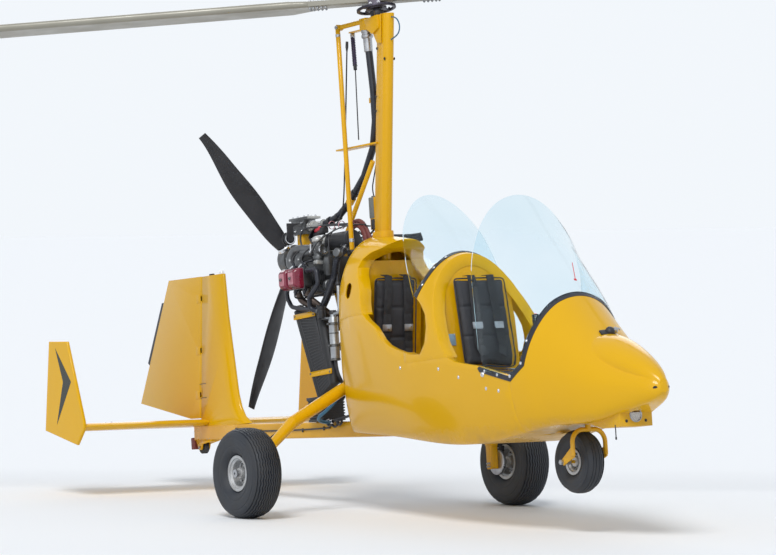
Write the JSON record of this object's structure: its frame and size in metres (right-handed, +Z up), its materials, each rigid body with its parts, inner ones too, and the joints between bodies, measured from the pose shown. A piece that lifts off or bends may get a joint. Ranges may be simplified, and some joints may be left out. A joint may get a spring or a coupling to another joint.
{
  "type": "two-seat gyrocopter",
  "caption": "Tandem open-cockpit gyrocopter: moulded pod with bubble windshields on a keel tube, leaning mast, teetering rotor, pusher propeller, tricycle gear and plank tail with fin and rudder",
  "frame": {"origin": "on the ground, under the rotor hub's centre, between the bounding box's sides", "axes": "+X is the nose, +Y the port side, +Z up; level on its three wheels"},
  "size_m": [5.7318, 6.6067, 2.5834],
  "materials": {
    "yellow_gelcoat": "gloss moulded skin, chrome yellow",
    "yellow_paint": "gloss paint, chrome yellow",
    "black_plastic": "satin black",
    "black_rubber": "matt black",
    "tyre": "dusty black rubber",
    "rim": "cast aluminium, lightly dusty",
    "silver": "bare aluminium",
    "steel": "machined steel",
    "chrome": "polished",
    "engine_black": "satin black casting",
    "maroon": "gloss dark red",
    "exhaust": "heat tinted stainless steel",
    "acrylic": "clear acrylic",
    "lamp": "clear lens over a reflector",
    "cushion": "black cover",
    "blade_grey": "satin grey",
    "carbon": "black composite"
  },
  "bodies": {
    "airframe": {"nose_cowl": "yellow_gelcoat", "mid_hoop": "yellow_gelcoat", "rear_arch": "yellow_gelcoat", "pod_tub": "yellow_gelcoat", "rear_bulkhead": "yellow_gelcoat", "keel_tube": "yellow_paint", "landing_lamp": "lamp", "mast_boot": "yellow_gelcoat", "mast": "yellow_paint", "front_seat_shell": "yellow_gelcoat", "rear_seat_shell": "yellow_gelcoat", "seat_cushions": "cushion", "windshield_trims": "black_rubber", "front_windshield": "acrylic", "rear_windshield": "acrylic", "instrument_panel": "black_plastic", "control_sticks": "black_plastic", "rudder_pedals": "silver", "gear_legs": "yellow_gelcoat", "axle_posts": "yellow_paint", "brake_plates": "silver", "fork_socket": "silver", "engine_block": "engine_black", "valve_covers": "maroon", "gearbox": "silver", "air_box": "engine_black", "intake_pipes": "silver", "prerotator_drive": "silver", "oil_tank": "silver", "exhaust": "exhaust", "radiators": "engine_black", "coolant_hoses": "black_rubber", "engine_mount": "yellow_paint", "stabilizer": "yellow_gelcoat", "end_plates": "yellow_gelcoat", "fin": "yellow_gelcoat", "tail_skid": "yellow_paint", "rotor_head": "yellow_paint", "torque_tube": "silver", "prerotator_shaft": "black_rubber", "control_rods": "yellow_paint", "mast_brackets": "yellow_paint", "carburettors": "silver", "radiator_straps": "yellow_paint", "oil_cooler": "engine_black"},
    "main_wheel_right": {"main_rim_right": "rim", "main_tyre_right": "tyre"},
    "main_wheel_left": {"main_rim_left": "rim", "main_tyre_left": "tyre"},
    "nose_fork_body": {"nose_fork": "yellow_paint"},
    "nose_wheel": {"nose_rim": "rim", "nose_tyre": "tyre"},
    "tail_wheel_body": {"tail_wheel": "black_rubber"},
    "rudder_body": {"rudder": "yellow_gelcoat", "rudder_tab": "engine_black"},
    "propeller": {"propeller_hub": "silver", "propeller_blades": "carbon"},
    "rotor_spindle_body": {"rotor_spindle": "steel"},
    "rotor": {"hub_bar": "silver", "rotor_blades": "blade_grey"}
  },
  "joints": [
    {"name": "main_wheel_right_spin", "type": "hinge", "parent": "airframe", "child": "main_wheel_right", "pos_m": [-0.19, -0.795, 0.2215], "axis": [0, 1, 0], "continuous": true},
    {"name": "main_wheel_left_spin", "type": "hinge", "parent": "airframe", "child": "main_wheel_left", "pos_m": [-0.19, 0.795, 0.2215], "axis": [0, 1, 0], "continuous": true},
    {"name": "nose_steer", "type": "hinge", "parent": "airframe", "child": "nose_fork_body", "pos_m": [1.568, 0, 0.3], "axis": [0, 0, 1], "range_deg": [-25, 25]},
    {"name": "nose_wheel_spin", "type": "hinge", "parent": "nose_fork_body", "child": "nose_wheel", "pos_m": [1.483, 0, 0.15], "axis": [0, 1, 0], "continuous": true},
    {"name": "tail_wheel_spin", "type": "hinge", "parent": "airframe", "child": "tail_wheel_body", "pos_m": [-1.88, 0, 0.424], "axis": [0, 1, 0], "continuous": true},
    {"name": "rudder_hinge", "type": "hinge", "parent": "airframe", "child": "rudder_body", "pos_m": [-1.868, 0, 0.565], "axis": [0.1284, 0, 0.9917], "range_deg": [-25, 25]},
    {"name": "propeller_spin", "type": "hinge", "parent": "airframe", "child": "propeller", "pos_m": [-0.905, 0, 1.322], "axis": [1, 0, 0], "continuous": true},
    {"name": "rotor_spin", "type": "hinge", "parent": "airframe", "child": "rotor_spindle_body", "pos_m": [0, 0, 2.53], "axis": [-0.1564, 0, 0.9877], "continuous": true},
    {"name": "rotor_teeter", "type": "hinge", "parent": "rotor_spindle_body", "child": "rotor", "pos_m": [-0.00375, 0, 2.5537], "axis": [0.7605, -0.6381, 0.1204], "range_deg": [-1.4, 12.6]}
  ]
}
